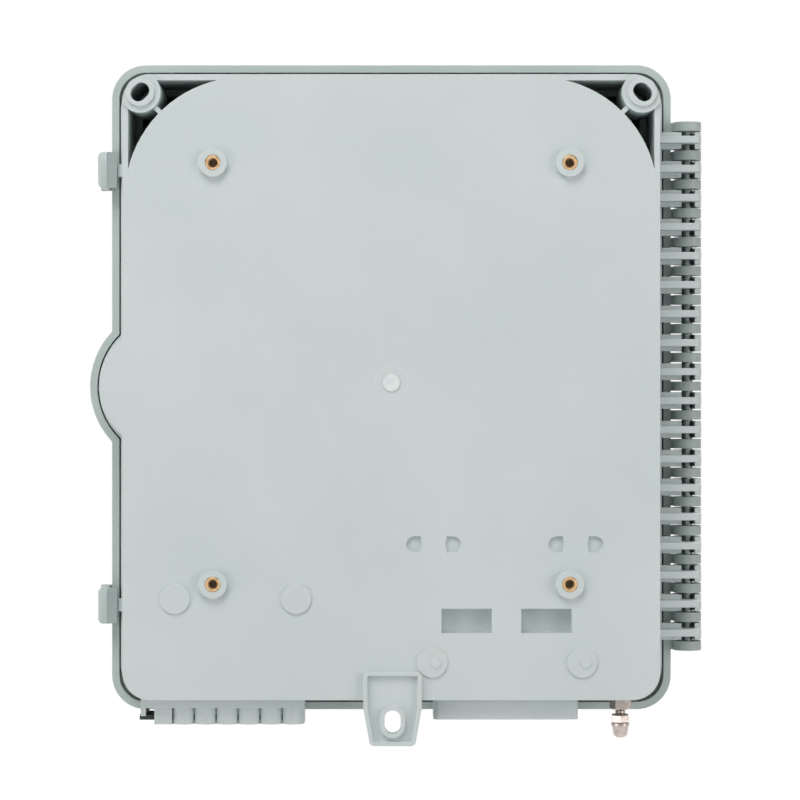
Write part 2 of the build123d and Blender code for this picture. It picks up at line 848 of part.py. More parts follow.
with BuildPart() as cam:
    with BuildSketch(depth(cam_rear)):
        with Locations((bulge_x, bulge_z)):
            Circle(plug_r + cam_eye_wall)
        with Locations((bulge_x, bulge_z + cam_length / 2)):
            Rectangle(cam_width, cam_length)
        with Locations((bulge_x, bulge_z)):
            Circle(plug_r + plug_fit, mode=Mode.SUBTRACT)
    extrude(amount=cam_thick)
cam.part.label = "lock_cam"
export_step(cam.part, "parts/lock_cam.step")

with BuildPart() as cam_nut:
    with BuildSketch(depth(cam_rear - cam_nut_thick)):
        with Locations((bulge_x, bulge_z)):
            RegularPolygon(plug_r + cam_nut_wall, 6)
            Circle(plug_r + plug_fit, mode=Mode.SUBTRACT)
    extrude(amount=cam_nut_thick)
cam_nut.part.label = "cam_nut"
export_step(cam_nut.part, "parts/cam_nut.step")

# Rubber strip that closes the drop ports, with a pull tab at its end
with BuildPart() as drop_seal:
    with BuildSketch(Plane.XY.offset(seal_low)):
        seal_outline()
    extrude(amount=seal_thick)
drop_seal.part.label = "drop_port_seal"
export_step(drop_seal.part, "parts/drop_port_seal.step")

# Rubber glands in the main ports
with BuildPart() as glands:
    with BuildSketch(Plane.XY.offset(main_low + gland_inset)):
        with Locations(*[(x, -entry_middle) for x in main_ports]):
            Circle(gland_r - gland_fit)
            Circle(gland_bore_r, mode=Mode.SUBTRACT)
    extrude(amount=inner_bottom_z - main_low - gland_inset)
    with BuildSketch(Plane.XY.offset(inner_bottom_z)):
        with Locations(*[(x, -entry_middle) for x in main_ports]):
            Circle(gland_r + gland_flange_w)
            Circle(gland_bore_r, mode=Mode.SUBTRACT)
    extrude(amount=gland_flange)
glands.part.label = "main_port_glands"
export_step(glands.part, "parts/main_port_glands.step")

# Earth stud, its lock nuts inside and outside the wall, and the domed cap nut
with BuildPart() as stud:
    with BuildSketch(Plane.XY.offset(stud_low)):
        with Locations((stud_x, -stud_depth)):
            Circle(stud_r)
    extrude(amount=stud_top - stud_low)
stud.part.label = "earth_stud"
export_step(stud.part, "parts/earth_stud.step")

with BuildPart() as lock_nuts:
    with BuildSketch(Plane.XY.offset(lock_nut_low)):
        with Locations((stud_x, -stud_depth)):
            RegularPolygon(nut_flats / 2, 6, major_radius=False)
            Circle(stud_r + thread_fit, mode=Mode.SUBTRACT)
    extrude(amount=bottom_z - side_draft - lock_nut_low)
    with BuildSketch(Plane.XY.offset(inner_bottom_z)):
        with Locations((stud_x, -stud_depth)):
            RegularPolygon(nut_flats / 2, 6, major_radius=False)
            Circle(stud_r + thread_fit, mode=Mode.SUBTRACT)
    extrude(amount=stud_top - stud_end - inner_bottom_z)
lock_nuts.part.label = "earth_lock_nuts"
export_step(lock_nuts.part, "parts/earth_lock_nuts.step")

with BuildPart() as cap_nut:
    with BuildSketch(Plane.XY.offset(cap_nut_top - cap_nut_height)):
        with Locations((stud_x, -stud_depth)):
            RegularPolygon(nut_flats / 2, 6, major_radius=False)
    extrude(amount=cap_nut_height)
    with BuildSketch(Plane.XY.offset(cap_nut_top - cap_nut_height - cap_collar)):
        with Locations((stud_x, -stud_depth)):
            Circle(cap_collar_r)
    extrude(amount=cap_collar)
    with BuildSketch(Plane.XY.offset(cap_low)):
        with Locations((stud_x, -stud_depth)):
            Circle(cap_r)
    extrude(amount=cap_nut_top - cap_nut_height - cap_collar - cap_low)
    fillet(cap_nut.faces().sort_by(Axis.Z)[0].edges(), cap_dome)
    with BuildSketch(Plane.XY.offset(cap_nut_top)):
        with Locations((stud_x, -stud_depth)):
            Circle(stud_r + thread_fit)
    extrude(amount=stud_low - cap_nut_top, mode=Mode.SUBTRACT)
cap_nut.part.label = "earth_cap_nut"
export_step(cap_nut.part, "parts/earth_cap_nut.step")

# Hinge bracket of the swing-out frame
with BuildPart() as bracket:
    with BuildSketch(depth(floor_depth)):
        with Locations((post_x, 0)):
            Rectangle(post_width, 2 * (post_half_gap + post_thick / 2))
    extrude(amount=bracket_plate)
    for end in (post_half_gap - post_thick / 2, -post_half_gap - post_thick / 2):
        with BuildSketch(Plane.XY.offset(end)):
            with Locations((post_x, -(floor_depth + post_front) / 2)):
                Rectangle(post_width, post_front - floor_depth)
        extrude(amount=post_thick)
        with BuildSketch(Plane.XY.offset(end + post_thick)):
            with Locations((post_x, -panel_axis_depth), (post_x, -tray_axis_depth)):
                Circle(pin_r)
        extrude(amount=pin_length)
bracket.part.label = "frame_bracket"
export_step(bracket.part, "parts/frame_bracket.step")

low_seat = -post_half_gap + post_thick / 2 + eye_gap
high_seat = post_half_gap + post_thick / 2 + eye_gap
panel_left = post_x + panel_gap
tray_left = post_x + tray_gap
leaf_low = low_seat
leaf_high = high_seat + eye_height


def hinge_eye(axis_depth, leaf_left, leaf_rear, leaf_front):
    """Draw the eye that drops over a bracket pin, with its arm to the leaf."""
    with Locations((post_x, -axis_depth)):
        Circle(eye_r)
    with Locations(((post_x + leaf_left + eye_root) / 2, -(leaf_rear + leaf_front) / 2)):
        Rectangle(leaf_left + eye_root - post_x, leaf_front - leaf_rear)
    with Locations((post_x, -axis_depth)):
        Circle(pin_r + pin_fit, mode=Mode.SUBTRACT)


# Adapter panel: flat leaf with a row of windows and a folded free edge
panel_rear = panel_axis_depth - panel_thick / 2
adapter_xs = [adapter_first_x + adapter_pitch * i for i in range(adapter_count)]
with BuildPart() as panel:
    with BuildSketch(Plane.XY.offset(low_seat), Plane.XY.offset(high_seat)):
        hinge_eye(panel_axis_depth, panel_left, panel_rear, panel_rear + panel_thick)
    extrude(amount=eye_height)
    with BuildSketch(depth(panel_rear)):
        with Locations(((panel_left + panel_right) / 2, (leaf_low + leaf_high) / 2)):
            Rectangle(panel_right - panel_left, leaf_high - leaf_low)
        with Locations(*[(x, adapter_z) for x in adapter_xs]):
            Rectangle(adapter_w + 2 * adapter_fit, adapter_h + 2 * adapter_fit, mode=Mode.SUBTRACT)
    extrude(amount=panel_thick)
    with BuildSketch(depth(panel_rear)):
        with Locations((panel_right - panel_thick / 2, (leaf_low + leaf_high) / 2)):
            Rectangle(panel_thick, leaf_high - leaf_low)
    extrude(amount=panel_fold)
panel.part.label = "adapter_panel"
export_step(panel.part, "parts/adapter_panel.step")

# Fibre adapters: square body, flange on the panel face and a socket in each end
panel_face = panel_rear + panel_thick
with BuildPart() as adapters:
    with BuildSketch(depth(panel_axis_depth - adapter_l / 2)):
        with Locations(*[(x, adapter_z) for x in adapter_xs]):
            Rectangle(adapter_w, adapter_h)
    extrude(amount=adapter_l)
    with BuildSketch(depth(panel_face)):
        with Locations(*[(x, adapter_z) for x in adapter_xs]):
            Rectangle(adapter_w + adapter_flange_w, adapter_h + 2 * adapter_flange_w)
    extrude(amount=adapter_flange)
    with BuildSketch(depth(panel_axis_depth + adapter_l / 2)):
        with Locations(*[(x, adapter_z) for x in adapter_xs]):
            Rectangle(adapter_bore, adapter_bore)
    extrude(amount=-adapter_socket, mode=Mode.SUBTRACT)
    with BuildSketch(depth(panel_axis_depth - adapter_l / 2)):
        with Locations(*[(x, adapter_z) for x in adapter_xs]):
            Rectangle(adapter_bore, adapter_bore)
    extrude(amount=adapter_socket, mode=Mode.SUBTRACT)
adapters.part.label = "adapters"
export_step(adapters.part, "parts/adapters.step")

# Dust caps with a square stem in each socket, front and rear
with BuildPart() as dust_caps:
    for end in (1, -1):
        with BuildSketch(depth(panel_axis_depth + end * adapter_l / 2)):
            with Locations(*[(x, adapter_z) for x in adapter_xs]):
                Rectangle(adapter_w, adapter_h - dust_cap_step)
        extrude(amount=end * dust_cap_l)
        with BuildSketch(depth(panel_axis_depth + end * adapter_l / 2)):
            with Locations(*[(x, adapter_z) for x in adapter_xs]):
                Rectangle(adapter_bore - 2 * adapter_fit, adapter_bore - 2 * adapter_fit)
        extrude(amount=-end * (adapter_socket - dust_stem_gap))
dust_caps.part.label = "dust_caps"
export_step(dust_caps.part, "parts/dust_caps.step")

# Splitter module on the front of the panel
with BuildPart() as splitter:
    with BuildSketch(depth(panel_face)):
        with Locations((splitter_x + splitter_w / 2, splitter_z)):
            Rectangle(splitter_w, splitter_h)
    extrude(amount=splitter_d)
    fillet(splitter.edges().filter_by(Axis.Y), splitter_round)
splitter.part.label = "splitter_module"
export_step(splitter.part, "parts/splitter_module.step")

# Splice tray behind the panel: shallow pan with rounded corners
tray_front = tray_rear + tray_height
holder_x = (tray_left + tray_right) / 2
with BuildPart() as tray:
    with BuildSketch(Plane.XY.offset(low_seat), Plane.XY.offset(high_seat)):
        hinge_eye(tray_axis_depth, tray_left, tray_rear, tray_front)
    extrude(amount=eye_height)
    with BuildSketch(depth(tray_rear)):
        with Locations(((tray_left + tray_right) / 2, (leaf_low + leaf_high) / 2)):
            RectangleRounded(tray_right - tray_left, leaf_high - leaf_low, tray_wall)
    extrude(amount=tray_height)
    with BuildSketch(depth(tray_rear + tray_wall)):
        with Locations(((tray_left + tray_right) / 2, (leaf_low + leaf_high) / 2)):
            RectangleRounded(
                tray_right - tray_left - 2 * tray_wall, leaf_high - leaf_low - 2 * tray_wall, tray_round
            )
    extrude(amount=tray_height, mode=Mode.SUBTRACT)
tray.part.label = "splice_tray"
export_step(tray.part, "parts/splice_tray.step")

# Splice holder: a plate of soft combs across the tray
with BuildPart() as holder:
    with BuildSketch(depth(tray_rear + tray_wall)):
        with Locations((holder_x, (leaf_low + leaf_high) / 2)):
            Rectangle(holder_w, holder_l)
    extrude(amount=holder_base)
    with BuildSketch(depth(tray_rear + tray_wall + holder_base)):
        with Locations((holder_x, (leaf_low + leaf_high) / 2)):
            with GridLocations(0, comb_pitch, 1, comb_count):
                Rectangle(holder_w, comb_wall)
    extrude(amount=comb_height)
holder.part.label = "splice_holder"
export_step(holder.part, "parts/splice_holder.step")

# Clear lid that rests on the tray walls
with BuildPart() as tray_lid:
    with BuildSketch(depth(tray_front)):
        with Locations(((tray_left + tray_right) / 2, (leaf_low + leaf_high) / 2)):
            RectangleRounded(tray_right - tray_left, leaf_high - leaf_low, tray_wall)
    extrude(amount=tray_lid_thick)
tray_lid.part.label = "tray_lid"
export_step(tray_lid.part, "parts/tray_lid.step")

# Cable clamps on the platforms: lower half with a groove and an upper strap
with BuildPart() as clamp_bases:
    with BuildSketch(depth(saddle_top)):
        with Locations(*[(x, saddle_z) for x in main_ports]):
            Rectangle(clamp_w, clamp_l)
    extrude(amount=clamp_split - saddle_top)
    with BuildSketch(Plane.XY.offset(saddle_z - clamp_l / 2)):
        with Locations(*[(x, -entry_middle) for x in main_ports]):
            Circle(clamp_groove_r)
    extrude(amount=clamp_l, mode=Mode.SUBTRACT)
    with BuildSketch(depth(clamp_split)):
        with Locations(*[(x + s * clamp_screw_x, saddle_z) for x in main_ports for s in (1, -1)]):
            Circle(clamp_screw_r + thread_fit)
    extrude(amount=saddle_top + clamp_screw_end - clamp_split, mode=Mode.SUBTRACT)
clamp_bases.part.label = "clamp_bases"
export_step(clamp_bases.part, "parts/clamp_bases.step")

strap_rear = clamp_split + clamp_gap
with BuildPart() as straps:
    with BuildSketch(depth(strap_rear)):
        with Locations(*[(x, saddle_z) for x in main_ports]):
            Rectangle(clamp_w, clamp_l)
    extrude(amount=clamp_top - strap_rear)
    fillet(straps.edges().filter_by(Axis.Z).group_by(Axis.Y)[0], clamp_round)
    with BuildSketch(Plane.XY.offset(saddle_z - clamp_l / 2)):
        with Locations(*[(x, -entry_middle) for x in main_ports]):
            Circle(clamp_groove_r)
    extrude(amount=clamp_l, mode=Mode.SUBTRACT)
    with BuildSketch(depth(strap_rear)):
        with Locations(*[(x + s * clamp_screw_x, saddle_z) for x in main_ports for s in (1, -1)]):
            Circle(clamp_screw_r + thread_fit)
    extrude(amount=clamp_top - strap_rear, mode=Mode.SUBTRACT)
straps.part.label = "clamp_straps"
export_step(straps.part, "parts/clamp_straps.step")

with BuildPart() as clamp_screws:
    screw_places = [(x + s * clamp_screw_x, saddle_z) for x in main_ports for s in (1, -1)]
    with BuildSketch(depth(saddle_top + clamp_screw_end)):
        with Locations(*screw_places):
            Circle(clamp_screw_r)
    extrude(amount=clamp_top - saddle_top - clamp_screw_end)
    with BuildSketch(depth(clamp_top)):
        with Locations(*screw_places):
            Circle(clamp_head_r)
    extrude(amount=clamp_head)
clamp_screws.part.label = "clamp_screws"
export_step(clamp_screws.part, "parts/clamp_screws.step")

# Fibre guides: L-shaped hooks that keep the spare fibre against the floor
with BuildPart() as guides:
    for x, z in guide_places:
        with BuildSketch(Plane.XY.offset(z - guide_w / 2)):
            with Locations((x, -(floor_depth + guide_front) / 2)):
                Rectangle(guide_stem, guide_front - floor_depth)
            with Locations((x - (guide_lip - guide_stem) / 2, -guide_front + guide_stem / 2)):
                Rectangle(guide_lip, guide_stem)
        extrude(amount=guide_w)
guides.part.label = "fibre_guides"
export_step(guides.part, "parts/fibre_guides.step")
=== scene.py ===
import math

import bmesh
import bpy
from mathutils import Matrix, Vector


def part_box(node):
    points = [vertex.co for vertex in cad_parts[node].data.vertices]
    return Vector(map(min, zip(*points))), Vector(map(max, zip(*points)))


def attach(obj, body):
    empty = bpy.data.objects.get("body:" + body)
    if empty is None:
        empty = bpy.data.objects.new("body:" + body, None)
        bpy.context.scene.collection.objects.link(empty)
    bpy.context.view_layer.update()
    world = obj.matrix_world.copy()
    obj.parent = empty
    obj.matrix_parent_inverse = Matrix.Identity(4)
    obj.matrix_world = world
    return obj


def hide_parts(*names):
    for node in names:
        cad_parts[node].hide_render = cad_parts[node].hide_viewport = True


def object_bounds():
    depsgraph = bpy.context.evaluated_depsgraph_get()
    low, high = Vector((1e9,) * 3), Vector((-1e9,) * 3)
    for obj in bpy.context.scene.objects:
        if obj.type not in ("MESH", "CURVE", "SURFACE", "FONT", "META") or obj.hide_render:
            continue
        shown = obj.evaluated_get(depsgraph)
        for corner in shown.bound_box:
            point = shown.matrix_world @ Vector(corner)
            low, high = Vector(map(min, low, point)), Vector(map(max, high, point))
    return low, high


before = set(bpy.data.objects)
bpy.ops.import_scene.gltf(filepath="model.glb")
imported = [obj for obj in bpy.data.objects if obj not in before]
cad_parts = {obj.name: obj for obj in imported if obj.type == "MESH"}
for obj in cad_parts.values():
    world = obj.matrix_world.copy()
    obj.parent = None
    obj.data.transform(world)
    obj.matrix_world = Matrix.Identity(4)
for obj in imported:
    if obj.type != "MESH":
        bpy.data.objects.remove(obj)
cad_low, cad_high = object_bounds()
mm = 0.001

# Camera and room: the box is seen square on from behind, a few pixels off the optical axis.
# A matt white floor lies well below it, and soft lamps stand round it at a plain level.
# Camera, gloss and clear views see the room as white, while its own light on the box stays low.
photo_size = 800
axis_pixel = (395, 385)
pixel_size = 0.47 * mm
camera_away = 1.300
camera_x = -1.74 * mm
camera_z = -5.4 * mm

camera_data = bpy.data.cameras.new("photo_camera")
camera_data.sensor_width = 36.0
camera_data.lens = 36.0 * camera_away / (photo_size * pixel_size)
camera_data.shift_x = (photo_size / 2 - axis_pixel[0]) / photo_size
camera_data.shift_y = (axis_pixel[1] - photo_size / 2) / photo_size
camera_data.clip_start = 0.01
camera_data.clip_end = 50.0
camera = bpy.data.objects.new("photo_camera", camera_data)
camera.location = (camera_x, camera_away, camera_z)
camera.rotation_euler = (math.radians(90), 0, math.radians(180))
bpy.context.scene.collection.objects.link(camera)
bpy.context.scene.camera = camera
bpy.context.scene.view_settings.view_transform = "Standard"


def node(tree, kind, links=None, **settings):
    """Add a node with its settings; links gives its inputs a value or another node's output."""
    made = tree.nodes.new(kind)
    for name, value in settings.items():
        setattr(made, name, value)
    for socket, source in (links or {}).items():
        if isinstance(source, bpy.types.NodeSocket):
            tree.links.new(source, made.inputs[socket])
        else:
            made.inputs[socket].default_value = source
    return made


def linear(hex_colour):
    """Linear RGBA of an sRGB hex colour."""
    channels = [int(hex_colour[i:i + 2], 16) / 255 for i in (1, 3, 5)]
    return [c / 12.92 if c <= 0.04045 else ((c + 0.055) / 1.055) ** 2.4 for c in channels] + [1.0]


def soft_lamp(name, place, size, watts):
    """A square lamp aimed at the middle of the box."""
    data = bpy.data.lights.new(name, "AREA")
    data.size = size
    data.energy = watts
    lamp = bpy.data.objects.new(name, data)
    lamp.location = place
    lamp.rotation_euler = (-lamp.location).to_track_quat("-Z", "Y").to_euler()
    bpy.context.scene.collection.objects.link(lamp)


soft_lamp("key_lamp_behind", (0.35, 1.05, 1.2), 1.0, 15.0)
soft_lamp("fill_lamp_behind", (-1.25, 0.9, 0.1), 0.9, 7.5)
soft_lamp("side_lamp_behind", (1.2, 0.9, -0.1), 0.9, 6.0)
soft_lamp("low_lamp_behind", (0.1, 0.95, -1.15), 0.9, 17.0)
soft_lamp("key_lamp_front", (-0.6, -1.2, 0.9), 0.8, 19.0)

room_light = 0.12
world = bpy.data.worlds.new("white_room")
world.use_nodes = True
bpy.context.scene.world = world
room = world.node_tree
room.nodes.clear()
rays = node(room, "ShaderNodeLightPath")
seen = node(room, "ShaderNodeMath", {0: rays.outputs["Is Camera Ray"],
                                     1: rays.outputs["Is Glossy Ray"]}, operation="MAXIMUM")
seen = node(room, "ShaderNodeMath", {0: seen.outputs[0], 1: rays.outputs["Is Transmission Ray"]},
            operation="MAXIMUM")
dim = node(room, "ShaderNodeBackground", {"Color": linear("#FFFFFF"), "Strength": room_light})
white = node(room, "ShaderNodeBackground", {"Color": linear("#FFFFFF"), "Strength": 1.0})
room_mix = node(room, "ShaderNodeMixShader", {0: seen.outputs[0], 1: dim.outputs[0],
                                              2: white.outputs[0]})
node(room, "ShaderNodeOutputWorld", {"Surface": room_mix.outputs[0]})

floor_drop = 0.32
floor_half = 9.0
floor_glow = 0.92
floor_z = cad_low.z - floor_drop
floor_mesh = bpy.data.meshes.new("floor")
floor_corners = [(-floor_half, -floor_half, floor_z), (floor_half, -floor_half, floor_z),
                 (floor_half, floor_half, floor_z), (-floor_half, floor_half, floor_z)]
floor_mesh.from_pydata(floor_corners, [], [(0, 1, 2, 3)])
floor = bpy.data.objects.new("floor", floor_mesh)
bpy.context.scene.collection.objects.link(floor)
floor_paint = bpy.data.materials.new("matt_white_floor")
floor_paint.use_nodes = True
tree = floor_paint.node_tree
tree.nodes.clear()
rays = node(tree, "ShaderNodeLightPath")
seen = node(tree, "ShaderNodeMath", {0: rays.outputs["Is Camera Ray"],
                                     1: rays.outputs["Is Glossy Ray"]}, operation="MAXIMUM")
own_glow = node(tree, "ShaderNodeMath", {0: seen.outputs[0], 1: floor_glow},
                operation="MULTIPLY")
glow = node(tree, "ShaderNodeEmission", {"Color": linear("#FFFFFF"),
                                         "Strength": own_glow.outputs[0]})
matt = node(tree, "ShaderNodeBsdfDiffuse", {"Color": linear("#D8D8D8")})
both = node(tree, "ShaderNodeAddShader", {0: glow.outputs[0], 1: matt.outputs[0]})
node(tree, "ShaderNodeOutputMaterial", {"Surface": both.outputs[0]})
floor_mesh.materials.append(floor_paint)


# Base housing: one injection moulding in pale grey polycarbonate blend, with its entry blocks,
# cups, bosses, ear, strike, latch keepers and hinge knuckles. Its face has an eroded matt grain,
# a little cloudy, with a pale mark where the melt entered and a painted highlight along the edges.
def dress(material, *names):
    """Give carried-over nodes this material in all their slots."""
    for name in names:
        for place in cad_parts[name].material_slots:
            place.material = material


cloud_size = 71.4 * mm
blot_size = 3.85 * mm
edge_radius = 0.4 * mm
gate_reach = 20 * mm
gate_rings = [(0.0, 0.62), (0.185, 0.55), (0.205, 0.0), (0.36, 0.0), (0.39, 0.16), (0.42, 0.0)]
plastic_ior = 1.58


def moulded_plastic(name, body, cloudy, grain_mm, roughness, grain_depth=0.03 * mm,
                    painted_edge_highlight=None, gate=None):
    """Matt moulded plastic: two close tones in soft clouds, eroded grain, soft edges, and a
    painted highlight along the edges when given.

    The grain is drawn about ten times as coarse as the real one, so that it shows.
    """
    material = bpy.data.materials.new(name)
    material.use_nodes = True
    tree = material.node_tree
    tree.nodes.clear()
    place = node(tree, "ShaderNodeTexCoord").outputs["Object"]
    clouds = node(tree, "ShaderNodeTexNoise", {"Vector": place, "Scale": 1 / cloud_size,
                                               "Detail": 4.0})
    tone = node(tree, "ShaderNodeValToRGB", {"Fac": clouds.outputs["Fac"]})
    tone.color_ramp.elements[0].position = 0.35
    tone.color_ramp.elements[0].color = linear(body)
    tone.color_ramp.elements[1].position = 0.68
    tone.color_ramp.elements[1].color = linear(cloudy)
    colour = tone.outputs["Color"]
    grain = node(tree, "ShaderNodeTexNoise", {"Vector": place, "Scale": 1 / (grain_mm * mm),
                                              "Detail": 2.0, "Roughness": 0.6})
    soft_edge = node(tree, "ShaderNodeBevel", {"Radius": edge_radius}, samples=4)
    if gate:
        flat = node(tree, "ShaderNodeVectorMath", {0: place, 1: (1, 0, 1)}, operation="MULTIPLY")
        away = node(tree, "ShaderNodeVectorMath", {0: flat.outputs[0], 1: (gate[0], 0, gate[1])},
                    operation="DISTANCE")
        reach = node(tree, "ShaderNodeMapRange", {"Value": away.outputs["Value"],
                                                  "From Max": gate_reach})
        mark = node(tree, "ShaderNodeValToRGB", {"Fac": reach.outputs[0]})
        ramp = mark.color_ramp
        while len(ramp.elements) < len(gate_rings):
            ramp.elements.new(1.0)
        for element, (position, level) in zip(ramp.elements, gate_rings):
            element.position = position
            element.color = (level, level, level, 1)
        blots = node(tree, "ShaderNodeTexNoise", {"Vector": place, "Scale": 1 / blot_size,
                                                  "Detail": 3.0})
        strength = node(tree, "ShaderNodeMapRange", {
            "Value": blots.outputs["Fac"], "From Min": 0.35, "From Max": 0.6, "To Min": 0.45})
        amount = node(tree, "ShaderNodeMath", {0: mark.outputs["Color"], 1: strength.outputs[0]},
                      operation="MULTIPLY")
        colour = node(tree, "ShaderNodeMix", {"Factor": amount.outputs[0], 6: colour,
                                              7: linear("#F2F7F6")}, data_type="RGBA").outputs[2]
    # Painted highlight: a lighter colour mixed in where the bevel normal turns away from the face,
    # along every edge.
    if painted_edge_highlight:
        faces = node(tree, "ShaderNodeNewGeometry")
        turn = node(tree, "ShaderNodeVectorMath", {0: soft_edge.outputs[0],
                                                   1: faces.outputs["True Normal"]},
                    operation="DOT_PRODUCT")
        rim = node(tree, "ShaderNodeMapRange", {"Value": turn.outputs["Value"], "From Min": 0.86,
                                                "From Max": 0.995, "To Min": 0.85, "To Max": 0.0})
        colour = node(tree, "ShaderNodeMix", {"Factor": rim.outputs[0], 6: colour,
                                              7: linear(painted_edge_highlight)}, data_type="RGBA").outputs[2]
    sheen = node(tree, "ShaderNodeMapRange", {"Value": grain.outputs["Fac"],
                                              "To Min": roughness - 0.06,
                                              "To Max": roughness + 0.08})
    bump = node(tree, "ShaderNodeBump", {"Height": grain.outputs["Fac"], "Distance": grain_depth,
                                         "Strength": 0.6, "Normal": soft_edge.outputs[0]})
    shader = node(tree, "ShaderNodeBsdfPrincipled", {
        "Base Color": colour, "Roughness": sheen.outputs[0], "Normal": bump.outputs[0],
        "IOR": plastic_ior})
    node(tree, "ShaderNodeOutputMaterial", {"Surface": shader.outputs[0]})
    return material


gate_z = -4.3 * mm
base_plastic = moulded_plastic("moulded_polycarbonate_pale_grey", "#C7D1D0", "#CDD6D5", 1.1,
                               0.55, painted_edge_highlight="#F6F8F4", gate=(0.0, gate_z))
dress(base_plastic, "base_housing", "main_entry_block", "drop_entry_block", "corner_screw_cups",
      "insert_bosses", "mounting_ear", "lock_strike", "latch_keepers", "hinge_knuckles")


# Hinge knuckle webs: solid blocks of the same moulding that carry each knuckle from the base wall,
# as tall as the knuckle and tucked under the flange, so that only slits show beside the rings.
def prism(shape, outline, low, high):
    """Add a prism with this outline of (x, y) points between two heights."""
    lower = [shape.verts.new((x, y, low)) for x, y in outline]
    upper = [shape.verts.new((x, y, high)) for x, y in outline]
    shape.faces.new(lower)
    shape.faces.new(upper)
    for i in range(len(outline)):
        after = (i + 1) % len(outline)
        shape.faces.new((lower[i], lower[after], upper[after], upper[i]))


def plain_mesh(shape, name, sharp_deg=35):
    """Turn the worked shape into a mesh with outward faces, smooth up to the stated angle."""
    bmesh.ops.recalc_face_normals(shape, faces=shape.faces)
    mesh = bpy.data.meshes.new(name)
    shape.to_mesh(mesh)
    shape.free()
    mesh.shade_smooth()
    mesh.set_sharp_from_angle(angle=math.radians(sharp_deg))
    return mesh


def fitted(mesh, name, material, body, finish_slot, *nodes):
    """Make the mesh a piece that rides on a body and may stand for CAD nodes."""
    if not mesh.materials:
        mesh.materials.append(material)
    piece = bpy.data.objects.new(name, mesh)
    bpy.context.scene.collection.objects.link(piece)
    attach(piece, body)
    if nodes:
        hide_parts(*nodes)


def new_tree(name, **sockets):
    """Start a geometry tree with these named inputs; returns it with its input and output node."""
    tree = bpy.data.node_groups.new(name, "GeometryNodeTree")
    tree.interface.new_socket("Geometry", in_out="INPUT", socket_type="NodeSocketGeometry")
    for socket, kind in sockets.items():
        tree.interface.new_socket(socket, in_out="INPUT", socket_type=kind)
    tree.interface.new_socket("Geometry", in_out="OUTPUT", socket_type="NodeSocketGeometry")
    return tree, node(tree, "NodeGroupInput"), node(tree, "NodeGroupOutput")


def grown(tree, start, **inputs):
    """Run a geometry tree on a start mesh and return the result as a plain mesh."""
    carrier = bpy.data.objects.new("carrier", start)
    bpy.context.scene.collection.objects.link(carrier)
    change = carrier.modifiers.new("grow", "NODES")
    change.node_group = tree
    for item in tree.interface.items_tree:
        if item.in_out == "INPUT" and item.name in inputs:
            change[item.identifier] = inputs[item.name]
    settled = bpy.context.evaluated_depsgraph_get()
    settled.update()
    result = bpy.data.meshes.new_from_object(carrier.evaluated_get(settled), depsgraph=settled)
    bpy.data.objects.remove(carrier)
    return result


row_tree, given, made = new_tree("evenly_spaced_row", Count="NodeSocketInt",
                                 Start="NodeSocketVector", Step="NodeSocketVector",
                                 Material="NodeSocketMaterial")
line = node(row_tree, "GeometryNodeMeshLine", {"Count": given.outputs["Count"],
                                               "Start Location": given.outputs["Start"],
                                               "Offset": given.outputs["Step"]})
copies = node(row_tree, "GeometryNodeInstanceOnPoints", {"Points": line.outputs[0],
                                                         "Instance": given.outputs["Geometry"]})
real = node(row_tree, "GeometryNodeRealizeInstances", {0: copies.outputs[0]})
coloured = node(row_tree, "GeometryNodeSetMaterial", {"Geometry": real.outputs[0],
                                                      "Material": given.outputs["Material"]})
row_tree.links.new(coloured.outputs[0], made.inputs[0])

rings_low, rings_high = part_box("hinge_rings")
knuckles_low, knuckles_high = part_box("hinge_knuckles")
rod_low, rod_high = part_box("hinge_rod")
hinge_x = (rod_low.x + rod_high.x) / 2
hinge_y = (rod_low.y + rod_high.y) / 2
knuckle_count = 18
ring_width = 4.5 * mm
knuckle_pitch = (rings_high.z - rings_low.z - ring_width) / knuckle_count
knuckle_width = knuckles_high.z - knuckles_low.z - knuckle_pitch * (knuckle_count - 1)
wall_x = -127.6 * mm
flange_x = -131.1 * mm
web_back = -35.2 * mm
flange_back = -38.9 * mm
web_front = -41.6 * mm
web_round = 0.5 * mm
web_end = hinge_x + 3.1 * mm
shape = bmesh.new()
prism(shape, [(wall_x, web_back), (web_end, web_back), (web_end, web_front),
              (flange_x, web_front), (flange_x, flange_back), (wall_x, flange_back)],
      -knuckle_width / 2, knuckle_width / 2)
bmesh.ops.bevel(shape, geom=list(shape.edges), offset=web_round, segments=2, affect="EDGES")
web = plain_mesh(shape, "knuckle_web")
webs = grown(row_tree, web, Count=knuckle_count, Start=(0, 0, knuckles_low.z + knuckle_width / 2),
             Step=(0, 0, knuckle_pitch), Material=base_plastic)
fitted(webs, "hinge_knuckle_webs", base_plastic, "base", "base_plastic")


# Brass inserts: turned from bar with a knurled outside and heat-set into the base bosses.
# The mouth is chamfered bright, the knurl ends show round it, and the bore is tapped.
# Turned brass is smooth and warm, and duller where the heat of fitting has tarnished it.
scratch_depth = 0.01 * mm
metal_edge = 0.15 * mm


